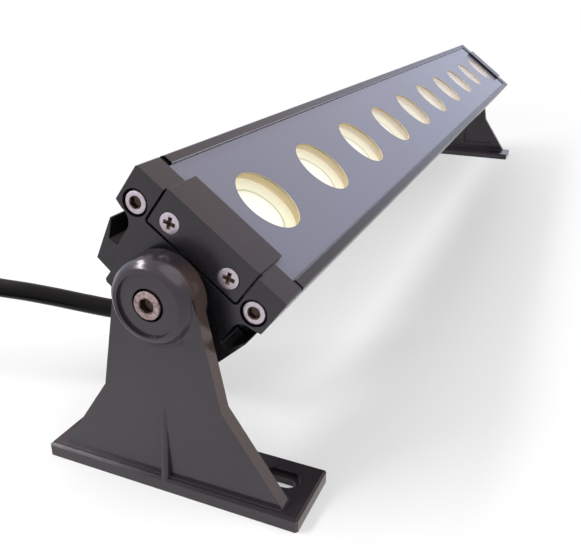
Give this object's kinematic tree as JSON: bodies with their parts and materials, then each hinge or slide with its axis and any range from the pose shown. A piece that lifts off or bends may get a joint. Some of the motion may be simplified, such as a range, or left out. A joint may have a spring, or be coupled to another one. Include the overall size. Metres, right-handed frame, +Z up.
{
  "type": "outdoor wall washer light",
  "caption": "Long slim floodlight: a tilting extruded head with a row of round light windows behind glass, held between two slotted foot brackets, with a supply cord.",
  "frame": {"origin": "on the mounting surface, midway between the two brackets and under the pivot axis", "axes": "+X along the head from the cable end to the far end, the lit glass side faces -Y and +Z, +Z up from the mounting surface"},
  "size_m": [0.7207, 0.2637, 0.1165],
  "materials": {
    "coat": "satin charcoal powder coat on aluminium",
    "seal": "black silicone",
    "front_glass": "clear tempered glass",
    "mask": "grey semi-gloss sheet",
    "steel": "bright stainless",
    "cup": "pale reflector",
    "lens": "opal white diffuser",
    "emitter": "phosphor",
    "board_white": "white solder mask on aluminium",
    "driver_metal": "bare aluminium",
    "board_green": "green circuit board",
    "part_black": "black component bodies",
    "wire": "insulated wire",
    "gland": "black nylon",
    "cord": "black rubber sheath",
    "tie": "black nylon",
    "core_brown": "brown insulation",
    "core_blue": "blue insulation",
    "core_green": "green and yellow insulation"
  },
  "bodies": {
    "near_bracket": {"bracket_near": "coat", "supply_cord": "cord", "cord_coil": "cord", "cord_ties": "tie", "core_live": "core_brown", "core_neutral": "core_blue", "core_earth": "core_green", "core_ferrules": "steel"},
    "head": {"housing": "coat", "end_cap_near": "coat", "end_cap_far": "coat", "end_gasket_near": "seal", "end_gasket_far": "seal", "front_glass": "front_glass", "mask_plate": "mask", "glass_gasket": "seal", "clamp_near": "coat", "clamp_far": "coat", "clamp_pads": "seal", "clamp_screws": "steel", "cap_screws": "steel", "reflector_cups": "cup", "diffuser_lenses": "lens", "led_emitters": "emitter", "led_board": "board_white", "board_screws": "steel", "driver_case": "driver_metal", "driver_lid": "driver_metal", "driver_board": "board_green", "driver_parts": "part_black", "supply_wires": "wire", "output_wires": "wire", "pivot_screw_near": "steel", "pivot_screw_far": "steel", "pivot_washer_near": "steel", "pivot_washer_far": "steel", "gland_body": "gland", "gland_locknut": "steel", "gland_seal": "seal", "gland_nut": "gland", "cord_inlet": "cord"},
    "far_bracket": {"bracket_far": "coat"}
  },
  "joints": [
    {"name": "head_tilt", "type": "hinge", "parent": "near_bracket", "child": "head", "pos_m": [0, 0, 0.0751], "axis": [1, 0, 0], "range_deg": [-126.8, 53.2], "deforming": ["supply_cord"]},
    {"name": "far_pivot", "type": "hinge", "parent": "head", "child": "far_bracket", "pos_m": [0, 0, 0.0751], "axis": [1, 0, 0], "range_deg": [-53.2, 126.8]}
  ],
  "couplings": [
    {"joint": "far_pivot", "follows": "head_tilt", "ratio": -1}
  ]
}
